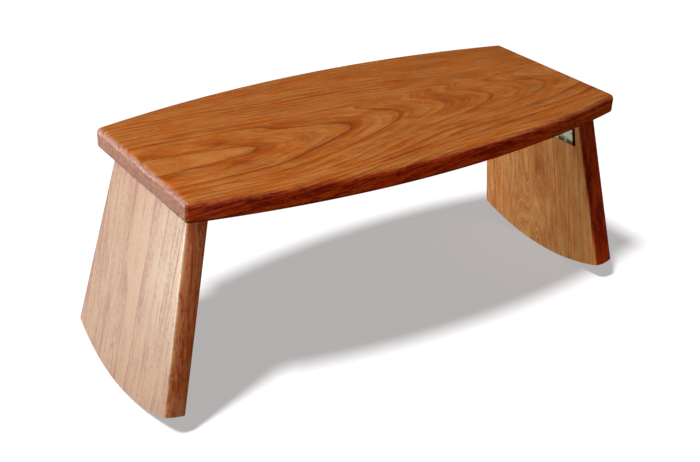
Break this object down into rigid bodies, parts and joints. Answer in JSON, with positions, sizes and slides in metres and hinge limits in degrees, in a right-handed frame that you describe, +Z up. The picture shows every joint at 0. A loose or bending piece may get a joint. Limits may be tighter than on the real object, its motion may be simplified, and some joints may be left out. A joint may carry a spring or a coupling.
{
  "type": "kneeling bench",
  "caption": "Low wooden kneeling bench: a bowed seat board on splayed rocker legs that fold flat under the seat on butt hinges.",
  "frame": {"origin": "on the floor, under the middle of the seat, at the bottom centre of the whole bench's box", "axes": "+X along the seat's length, +Y from the front edge to the back edge, +Z up"},
  "size_m": [0.5208, 0.2234, 0.2085],
  "materials": {
    "seat_wood": "oiled cherry, satin, with cathedral grain along the seat",
    "leg_wood": "oiled cherry, satin, with straight grain running down the leg",
    "hinge_steel": "dull nickel-plated steel, slightly tarnished",
    "hinge_pin_steel": "bright drawn steel",
    "screw_steel": "nickel-plated steel with a cross recess"
  },
  "bodies": {
    "seat": {"seat_board": "seat_wood", "left_front_hinge_seat_leaf": "hinge_steel", "left_front_hinge_pin": "hinge_pin_steel", "left_front_seat_screw_1": "screw_steel", "left_front_seat_screw_2": "screw_steel", "left_front_seat_screw_3": "screw_steel", "left_back_hinge_seat_leaf": "hinge_steel", "left_back_hinge_pin": "hinge_pin_steel", "left_back_seat_screw_1": "screw_steel", "left_back_seat_screw_2": "screw_steel", "left_back_seat_screw_3": "screw_steel", "right_front_hinge_seat_leaf": "hinge_steel", "right_front_hinge_pin": "hinge_pin_steel", "right_front_seat_screw_1": "screw_steel", "right_front_seat_screw_2": "screw_steel", "right_front_seat_screw_3": "screw_steel", "right_back_hinge_seat_leaf": "hinge_steel", "right_back_hinge_pin": "hinge_pin_steel", "right_back_seat_screw_1": "screw_steel", "right_back_seat_screw_2": "screw_steel", "right_back_seat_screw_3": "screw_steel"},
    "left_leg_body": {"left_leg": "leg_wood", "left_front_hinge_leg_leaf": "hinge_steel", "left_front_leg_screw_1": "screw_steel", "left_front_leg_screw_2": "screw_steel", "left_front_leg_screw_3": "screw_steel", "left_back_hinge_leg_leaf": "hinge_steel", "left_back_leg_screw_1": "screw_steel", "left_back_leg_screw_2": "screw_steel", "left_back_leg_screw_3": "screw_steel"},
    "right_leg_body": {"right_leg": "leg_wood", "right_front_hinge_leg_leaf": "hinge_steel", "right_front_leg_screw_1": "screw_steel", "right_front_leg_screw_2": "screw_steel", "right_front_leg_screw_3": "screw_steel", "right_back_hinge_leg_leaf": "hinge_steel", "right_back_leg_screw_1": "screw_steel", "right_back_leg_screw_2": "screw_steel", "right_back_leg_screw_3": "screw_steel"}
  },
  "joints": [
    {"name": "left_leg_fold", "type": "hinge", "parent": "seat", "child": "left_leg_body", "pos_m": [-0.19737, 0, 0.18741], "axis": [0, -1, 0], "range_deg": [0, 102.7]},
    {"name": "right_leg_fold", "type": "hinge", "parent": "seat", "child": "right_leg_body", "pos_m": [0.19737, 0, 0.18741], "axis": [0, 1, 0], "range_deg": [0, 102.7]}
  ]
}
